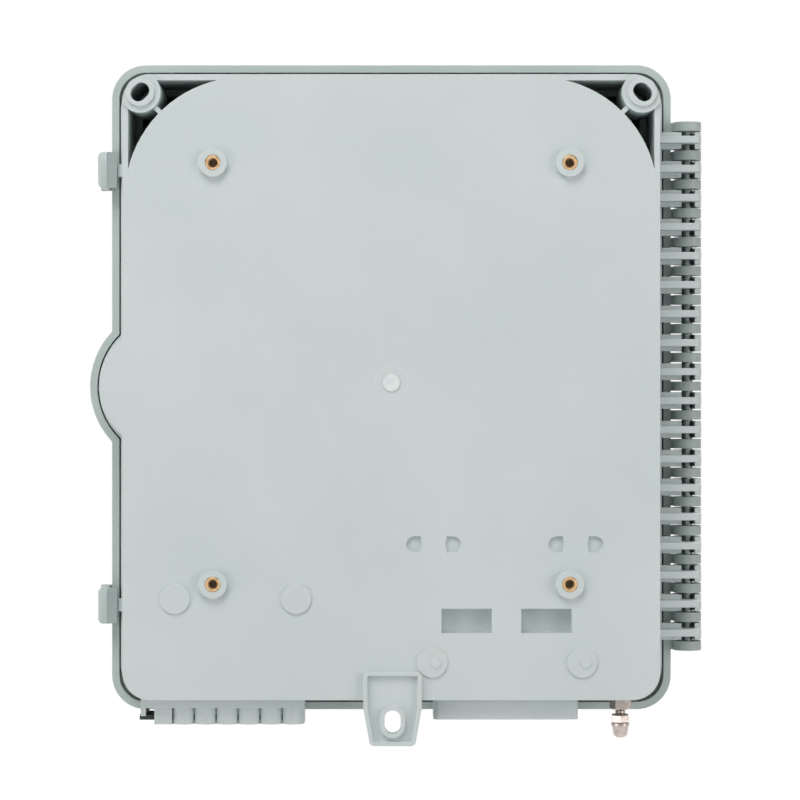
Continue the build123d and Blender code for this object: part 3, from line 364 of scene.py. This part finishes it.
def metal(name, colour, worn, roughness, patch_mm):
    """Bare or plated metal: slight patches of tone and roughness, and fine marks."""
    material = bpy.data.materials.new(name)
    material.use_nodes = True
    tree = material.node_tree
    tree.nodes.clear()
    place = node(tree, "ShaderNodeTexCoord").outputs["Object"]
    patches = node(tree, "ShaderNodeTexNoise", {"Vector": place, "Scale": 1 / (patch_mm * mm),
                                                "Detail": 5.0, "Roughness": 0.65})
    tone = node(tree, "ShaderNodeValToRGB", {"Fac": patches.outputs["Fac"]})
    tone.color_ramp.elements[0].position = 0.3
    tone.color_ramp.elements[0].color = linear(worn)
    tone.color_ramp.elements[1].position = 0.62
    tone.color_ramp.elements[1].color = linear(colour)
    dull = node(tree, "ShaderNodeMapRange", {"Value": patches.outputs["Fac"],
                                             "To Min": roughness + 0.12,
                                             "To Max": roughness - 0.05})
    soft_edge = node(tree, "ShaderNodeBevel", {"Radius": metal_edge}, samples=4)
    bump = node(tree, "ShaderNodeBump", {"Height": patches.outputs["Fac"],
                                         "Distance": scratch_depth, "Strength": 0.5,
                                         "Normal": soft_edge.outputs[0]})
    shader = node(tree, "ShaderNodeBsdfPrincipled", {
        "Base Color": tone.outputs["Color"], "Metallic": 1.0, "Roughness": dull.outputs[0],
        "Normal": bump.outputs[0]})
    node(tree, "ShaderNodeOutputMaterial", {"Surface": shader.outputs[0]})
    return material


def turned(shape, profile, centre=(0, 0, 0), sides=48, closed=True, along_y=False, phase_deg=0.0):
    """Add a turned form; profile points are (radius, distance along the axis)."""
    turn = Matrix.Rotation(math.radians(90), 3, "X") if along_y else Matrix.Identity(3)
    rings = []
    for radius, height in profile:
        angles = [2 * math.pi * step / sides + math.radians(phase_deg) for step in range(sides)]
        points = [turn @ Vector((radius * math.cos(a), radius * math.sin(a), height))
                  for a in angles]
        rings.append([shape.verts.new(point + Vector(centre)) for point in points])
    for first, second in zip(rings, rings[1:] + (rings[:1] if closed else [])):
        for step in range(sides):
            after = (step + 1) % sides
            shape.faces.new((first[step], first[after], second[after], second[step]))
    if not closed:
        shape.faces.new(rings[0])
        shape.faces.new(rings[-1])


def join_mesh(shape, mesh, move):
    """Add a copy of a mesh to the worked shape, moved by a matrix."""
    before = len(shape.verts)
    shape.from_mesh(mesh)
    shape.verts.ensure_lookup_table()
    bmesh.ops.transform(shape, matrix=move, verts=shape.verts[before:])


thread_tree, given, made = new_tree("thread_ridge", Turns="NodeSocketFloat",
                                    Radius="NodeSocketFloat", Length="NodeSocketFloat",
                                    Ridge="NodeSocketFloat", Material="NodeSocketMaterial")
spiral = node(thread_tree, "GeometryNodeCurveSpiral", {
    "Resolution": 36, "Rotations": given.outputs["Turns"], "Start Radius": given.outputs["Radius"],
    "End Radius": given.outputs["Radius"], "Height": given.outputs["Length"]})
ridge = node(thread_tree, "GeometryNodeCurvePrimitiveCircle", {
    "Resolution": 4, "Radius": given.outputs["Ridge"]})
swept = node(thread_tree, "GeometryNodeCurveToMesh", {"Curve": spiral.outputs[0],
                                                      "Profile Curve": ridge.outputs[0],
                                                      "Fill Caps": True})
real = node(thread_tree, "GeometryNodeRealizeInstances", {0: swept.outputs[0]})
coloured = node(thread_tree, "GeometryNodeSetMaterial", {"Geometry": real.outputs[0],
                                                         "Material": given.outputs["Material"]})
thread_tree.links.new(coloured.outputs[0], made.inputs[0])

knurl_tree, given, made = new_tree("ring_of_teeth", Count="NodeSocketInt",
                                   Material="NodeSocketMaterial")
line = node(knurl_tree, "GeometryNodeMeshLine", {"Count": given.outputs["Count"],
                                                 "Offset": (0, 0, 0)})
index = node(knurl_tree, "GeometryNodeInputIndex")
share = node(knurl_tree, "ShaderNodeMath", {0: index.outputs[0], 1: given.outputs["Count"]},
             operation="DIVIDE")
angle = node(knurl_tree, "ShaderNodeMath", {0: share.outputs[0], 1: 2 * math.pi},
             operation="MULTIPLY")
euler = node(knurl_tree, "ShaderNodeCombineXYZ", {"Y": angle.outputs[0]})
spin = node(knurl_tree, "FunctionNodeEulerToRotation", {0: euler.outputs[0]})
copies = node(knurl_tree, "GeometryNodeInstanceOnPoints", {
    "Points": line.outputs[0], "Instance": given.outputs["Geometry"],
    "Rotation": spin.outputs[0]})
real = node(knurl_tree, "GeometryNodeRealizeInstances", {0: copies.outputs[0]})
coloured = node(knurl_tree, "GeometryNodeSetMaterial", {"Geometry": real.outputs[0],
                                                        "Material": given.outputs["Material"]})
knurl_tree.links.new(coloured.outputs[0], made.inputs[0])

brass = metal("turned_brass", "#E2C49C", "#A98459", 0.22, 1.2)
insert_r = 3.7 * mm
insert_core = 3.45 * mm
insert_bore = 2.1 * mm
insert_mouth = 0.55 * mm
insert_length = 9.2 * mm
insert_inset = 0.15 * mm
insert_thread = insert_length - 2 * mm
insert_ridge = 0.14 * mm
tooth_width = 0.42 * mm
tooth_count = 26
thread_pitch = 0.8 * mm
inserts_low, inserts_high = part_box("bracket_inserts")
shape = bmesh.new()
prism(shape, [(-tooth_width / 2, -insert_inset), (tooth_width / 2, -insert_inset),
              (tooth_width / 2, -insert_length), (-tooth_width / 2, -insert_length)],
      insert_core - insert_inset, insert_r)
knurl = grown(knurl_tree, plain_mesh(shape, "knurl_tooth"), Count=tooth_count, Material=brass)
bore_thread = grown(thread_tree, bpy.data.meshes.new("empty"),
                    Turns=insert_thread / thread_pitch, Radius=insert_bore,
                    Length=insert_thread, Ridge=insert_ridge, Material=brass)
stand_up = Matrix.Rotation(math.radians(90), 4, "X")
shape = bmesh.new()
for x in (inserts_low.x + insert_r, inserts_high.x - insert_r):
    for z in (inserts_low.z + insert_r, inserts_high.z - insert_r):
        turned(shape, [(insert_bore + insert_mouth, 0), (insert_core - insert_inset, 0),
                       (insert_core, insert_inset), (insert_core, insert_length),
                       (insert_bore, insert_length), (insert_bore, insert_mouth)],
               centre=(x, 0, z), along_y=True)
        join_mesh(shape, knurl, Matrix.Translation((x, 0, z)))
        join_mesh(shape, bore_thread, Matrix.Translation((x, -insert_mouth * 1.5, z)) @ stand_up)
fitted(plain_mesh(shape, "brass_inserts"), "brass_inserts", brass, "base", "brass",
       "bracket_inserts")


# Earth point: nickel-plated steel stud through the lower wall, a lock nut each side of it,
# and a domed cap nut with a flange collar. The stud's thread shows between the nuts.
# Nickel is bright and a little warm, and its flats mirror the room.
nickel = metal("nickel_plated_steel", "#ADA29C", "#8A7F79", 0.14, 3.5)
stud_low, stud_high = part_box("earth_stud")
nuts_low, nuts_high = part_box("earth_lock_nuts")
cap_low, cap_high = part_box("earth_cap_nut")
stud_x = (stud_low.x + stud_high.x) / 2
stud_y = (stud_low.y + stud_high.y) / 2
stud_r = 2.5 * mm
stud_core = 2.1 * mm
nut_corner = 5.1 * mm
nut_top_corner = 4.6 * mm
nut_chamfer = 0.5 * mm
nut_thick = 5.5 * mm
inner_nut_thick = 3.4 * mm
stud_ridge = 0.4 * mm
stud_tip = 0.5 * mm
stud_tip_r = stud_core * 0.8
thread_length = stud_high.z - stud_low.z - 2 * stud_tip
stud_thread = grown(thread_tree, bpy.data.meshes.new("empty"),
                    Turns=thread_length / thread_pitch, Radius=stud_core,
                    Length=thread_length, Ridge=stud_ridge, Material=nickel)
shape = bmesh.new()
turned(shape, [(stud_tip_r, stud_low.z), (stud_core, stud_low.z + stud_tip),
               (stud_core, stud_high.z - stud_tip), (stud_tip_r, stud_high.z)],
       centre=(stud_x, stud_y, 0), closed=False)
join_mesh(shape, stud_thread, Matrix.Translation((stud_x, stud_y, stud_low.z + stud_tip)))
fitted(plain_mesh(shape, "threaded_earth_stud"), "threaded_earth_stud", nickel, "base", "nickel",
       "earth_stud")

shape = bmesh.new()
for low, high in ((nuts_low.z, nuts_low.z + nut_thick),
                  (nuts_high.z - inner_nut_thick, nuts_high.z)):
    turned(shape, [(stud_r, low + nut_chamfer), (stud_r + nut_chamfer, low),
                   (nut_corner - nut_chamfer, low), (nut_corner, low + nut_chamfer),
                   (nut_corner, high - nut_chamfer), (nut_corner - nut_chamfer, high),
                   (stud_r + nut_chamfer, high), (stud_r, high - nut_chamfer)],
           centre=(stud_x, stud_y, 0), sides=6)
fitted(plain_mesh(shape, "earth_hex_nuts", 20), "earth_hex_nuts", nickel, "base", "nickel",
       "earth_lock_nuts")

cap_hex = 4.2 * mm
cap_collar = 1.1 * mm
cap_cone = 4.0 * mm
collar_r = 4.35 * mm
cone_r = 4.0 * mm
dome_r = 3.4 * mm
cap_bore_r = 3.2 * mm
hex_low = cap_high.z - cap_hex
collar_low = hex_low - cap_collar
cone_low = collar_low - cap_cone
shape = bmesh.new()
turned(shape, [(stud_r, cap_high.z), (nut_top_corner - nut_chamfer, cap_high.z),
               (nut_top_corner, cap_high.z - nut_chamfer), (nut_top_corner, hex_low + nut_chamfer),
               (nut_top_corner - nut_chamfer, hex_low), (stud_r, hex_low)],
       centre=(stud_x, stud_y, 0), sides=6, phase_deg=30)
dome = [(dome_r * math.cos(math.radians(a)),
         cone_low - (cone_low - cap_low.z) * math.sin(math.radians(a))) for a in range(0, 85, 12)]
turned(shape, [(cap_bore_r, hex_low), (collar_r, hex_low), (collar_r, collar_low),
               (cone_r, collar_low)] + dome, centre=(stud_x, stud_y, 0), closed=False)
fitted(plain_mesh(shape, "earth_domed_nut", 25), "earth_domed_nut", nickel, "base", "nickel",
       "earth_cap_nut")


# Cover: the same plastic in a slightly deeper grey-green, moulded in another tool, with its
# hinge rings and latch lugs; the rings get a darker tone of it, painted shade for the shade
# inside the hinge. The gasket in its rim is a dull grey silicone sponge.
cover_plastic = moulded_plastic("moulded_polycarbonate_grey_green", "#B4C0BD", "#BBC6C3", 1.1,
                                0.5, painted_edge_highlight="#D3DCDA")
dress(cover_plastic, "cover", "latch_lugs")
# The hinge rings' darker tone is painted shade: the same plastic drawn darker where the hinge
# shades it.
ring_plastic_painted_shade = moulded_plastic("moulded_polycarbonate_painted_shade", "#A2ADAA", "#ACB7B4", 1.1, 0.5,
                               painted_edge_highlight="#C6D0CD")
dress(ring_plastic_painted_shade, "hinge_rings")
sponge_grain = 0.06 * mm
silicone = moulded_plastic("silicone_sponge_grey", "#4A4D4D", "#565958", 0.6, 0.8, sponge_grain)
dress(silicone, "cover_gasket")


# Hinge rod: one long drawn rod of grey steel through all rings and knuckles, set just inside the
# end rings. Drawing leaves a satin surface with faint darker patches.
rod_steel = metal("drawn_grey_steel", "#7F8986", "#5E6765", 0.34, 3.0)
rod_r = (rod_high.x - rod_low.x) / 2
rod_chamfer = 0.6 * mm
rod_inset = 0.2 * mm
rod_bottom = rings_low.z + rod_inset
rod_top = rings_high.z - rod_inset
shape = bmesh.new()
turned(shape, [(rod_r - rod_chamfer, rod_bottom), (rod_r, rod_bottom + rod_chamfer),
               (rod_r, rod_top - rod_chamfer), (rod_r - rod_chamfer, rod_top)],
       centre=(hinge_x, hinge_y, 0), closed=False)
fitted(plain_mesh(shape, "hinge_pin_rod"), "hinge_pin_rod", rod_steel, "door", "dark_steel",
       "hinge_rod")


# Snap latches: smooth levers in the cover's plastic on steel pins. The pad has round outer
# corners, the lever narrows towards its eye, and a ramped barb on its inside hooks behind the
# keeper. Polished tool faces leave them smoother and a little glossier than the shells.
corner_steps = 5


def loft(shape, sections):
    """Add a closed form through these sections, which have equally many points."""
    rings = [[shape.verts.new(point) for point in section] for section in sections]
    for first, second in zip(rings, rings[1:]):
        for i in range(len(first)):
            after = (i + 1) % len(first)
            shape.faces.new((first[i], first[after], second[after], second[i]))
    shape.faces.new(rings[0])
    shape.faces.new(rings[-1])


def lever_section(inner_x, outer_x, middle_z, half_z, corner, y):
    """Cross-section of the lever: square inside corners, round outside corners."""
    points = [(inner_x, y, middle_z - half_z), (inner_x, y, middle_z + half_z)]
    for sign, start in ((1, 90), (-1, 0)):
        for step in range(corner_steps + 1):
            a = math.radians(start - 90 / corner_steps * step)
            points.append((outer_x - corner + corner * math.cos(a), y,
                           middle_z + sign * (half_z - corner) + corner * math.sin(a)))
    return points


polished_grain = 0.01 * mm
latch_plastic = moulded_plastic("moulded_polycarbonate_latch", "#BAC6C3", "#C1CBC9", 1.6, 0.42,
                                polished_grain, painted_edge_highlight="#D6DFDD")
outer = 141.2 * mm
lever_thick = 4.4 * mm
inner = outer - lever_thick
pad_half = 8.65 * mm
eye_half = 8.6 * mm
eye_r = 3.0 * mm
eye_from_barb = 6.7 * mm
pin_r = 1.3 * mm
slot_half = 3.4 * mm
barb_depth = 4.0 * mm
barb_tip = 0.8 * mm
fork_depth = 17.0 * mm
sunk = 0.1 * mm
for name, body in (("latch_upper", "upper_latch"), ("latch_lower", "lower_latch")):
    low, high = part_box(name)
    middle = (low.z + high.z) / 2
    back = high.y
    eye_x = low.x + eye_from_barb
    eye_y = low.y + eye_r
    # Each row: inner face, outer face, half height, corner radius, depth from the pad's back face.
    rows = [(inner + 0.1 * mm, outer - 0.9 * mm, pad_half - 0.9 * mm, 1.9 * mm, 0.0),
            (inner, outer - 0.25 * mm, pad_half - 0.25 * mm, 2.3 * mm, 0.3 * mm),
            (inner, outer, pad_half, 2.4 * mm, 1.1 * mm),
            (inner, outer, pad_half - 0.1 * mm, 2.3 * mm, 5 * mm),
            (inner, outer, eye_half, 1.2 * mm, fork_depth)]
    shape = bmesh.new()
    loft(shape, [lever_section(near, far, middle, half_z, corner, back - depth)
                 for near, far, half_z, corner, depth in rows])
    prism(shape, [(inner + sunk, back - sunk), (low.x, back - barb_depth + barb_tip),
                  (low.x, back - barb_depth), (inner + sunk, back - barb_depth)],
          middle - eye_half, middle + eye_half)
    for side in (1, -1):
        ends = sorted((middle + side * slot_half, middle + side * eye_half))
        turned(shape, [(pin_r, ends[0]), (eye_r, ends[0]), (eye_r, ends[1]), (pin_r, ends[1])],
               centre=(eye_x, eye_y, 0), sides=32)
        prism(shape, [(inner, back - fork_depth + sunk), (outer, back - fork_depth + sunk),
                      (outer, eye_y + pin_r), (inner, eye_y + pin_r)], ends[0], ends[1])
    fitted(plain_mesh(shape, name + "_lever", 40), name + "_lever", latch_plastic, body,
           "latch_plastic", name)


# Lock: chromed die-cast barrel and plug in the niche, with a zinc-plated cam and nut behind it.
# The latch pins are of the same zinc-plated steel. Cast zinc is bright, and plated steel is
# greyer and more satin.
zinc_steel = metal("zinc_plated_steel", "#C6C8CA", "#9C9FA1", 0.3, 2.0)
dress(zinc_steel, "latch_pins", "lock_cam", "cam_nut")
cast_zinc = metal("die_cast_zinc_chromed", "#D2D3D4", "#A9ABAC", 0.2, 4.0)
dress(cast_zinc, "lock_barrel", "lock_plug")


# Rubber entries: a black moulded strip closes the drop ports, and two glands line the main
# ports. The rubber is matt black with a fine bloom, as it comes from the mould.
rubber_grain = 0.05 * mm
black_rubber = moulded_plastic("moulded_black_rubber", "#1B1C1D", "#242526", 0.9, 0.7,
                               rubber_grain)
dress(black_rubber, "drop_port_seal", "main_port_glands")


# Inner pieces: pale grey plastic bracket, panel, tray, clamps and guides, moulded smooth.
# Blue adapters with white dust caps sit in the panel, beside a dark splitter module.
# The tray lid is clear plastic, thin enough to show as a light haze.
inner_plastic = moulded_plastic("moulded_abs_inner_grey", "#C9CFCE", "#D0D5D4", 1.4, 0.48)
dress(inner_plastic, "frame_bracket", "adapter_panel", "splice_tray", "clamp_bases",
      "clamp_straps", "fibre_guides")
adapter_plastic = moulded_plastic("moulded_blue_adapter", "#2B62A8", "#2F69B2", 1.5, 0.32,
                                  polished_grain)
dress(adapter_plastic, "adapters")
cap_plastic = moulded_plastic("moulded_white_cap", "#E4E6E6", "#EAECEC", 1.5, 0.45,
                              polished_grain)
dress(cap_plastic, "dust_caps")
module_plastic = moulded_plastic("moulded_abs_module", "#5B6062", "#64696B", 1.2, 0.5)
dress(module_plastic, "splitter_module")
holder_rubber = moulded_plastic("moulded_soft_holder", "#34383A", "#3C4042", 0.8, 0.7)
dress(holder_rubber, "splice_holder")
lid_haze = 0.38
clear_plastic = moulded_plastic("moulded_clear_lid", "#DFE6E6", "#E6ECEC", 1.8, 0.25,
                                polished_grain)
clear_plastic.node_tree.nodes["Principled BSDF"].inputs["Alpha"].default_value = lid_haze
dress(clear_plastic, "tray_lid")


# Clamp screws: zinc-plated pan-head screws with a cross recess, two through each cable clamp.
# Each is a straight shank with a blunt point and a low domed head.
screws_low, screws_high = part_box("clamp_screws")
head_r = 2.9 * mm
head_height = 2.2 * mm
shank_r = 1.6 * mm
shank_tip_r = shank_r * 0.6
shank_straight = 18 * mm
recess_half = 0.42 * mm
recess_reach = 1.7 * mm
recess_deep = 1.3 * mm
recess_over = 1 * mm
screw_pitch = 19.6 * mm
clamp_pitch = 37.6 * mm
head_rise = [(head_r * math.cos(math.radians(a)), head_height * math.sin(math.radians(a)))
             for a in range(0, 81, 16)]
shape = bmesh.new()
turned(shape, [(shank_tip_r, -(screws_high.y - screws_low.y) + head_height),
               (shank_r, -shank_straight), (shank_r, 0)] + head_rise,
       sides=32, closed=False, along_y=True)
screw_mesh = plain_mesh(shape, "pan_head_screw")
screw = bpy.data.objects.new("pan_head_screw", screw_mesh)
bpy.context.scene.collection.objects.link(screw)
shape = bmesh.new()
for long_x, long_z in ((recess_reach, recess_half), (recess_half, recess_reach)):
    prism(shape, [(-long_x, -head_height + recess_deep), (long_x, -head_height + recess_deep),
                  (long_x, -head_height - recess_over), (-long_x, -head_height - recess_over)],
          -long_z, long_z)
cutter = bpy.data.objects.new("cross_recess", plain_mesh(shape, "cross_recess"))
bpy.context.scene.collection.objects.link(cutter)
cut = screw.modifiers.new("recess", "BOOLEAN")
cut.operation = "DIFFERENCE"
cut.solver = "EXACT"
cut.use_self = True
cut.object = cutter
settled = bpy.context.evaluated_depsgraph_get()
settled.update()
recessed = bpy.data.meshes.new_from_object(screw.evaluated_get(settled), depsgraph=settled)
bpy.data.objects.remove(screw)
bpy.data.objects.remove(cutter)
head_y = screws_low.y + head_height
screw_z = (screws_low.z + screws_high.z) / 2
pair = grown(row_tree, recessed, Count=2, Start=(0, 0, 0), Step=(screw_pitch, 0, 0),
             Material=zinc_steel)
screws = grown(row_tree, pair, Count=2, Start=(screws_low.x + head_r, head_y, screw_z),
               Step=(clamp_pitch, 0, 0), Material=zinc_steel)
fitted(screws, "clamp_pan_screws", zinc_steel, "base", "steel", "clamp_screws")
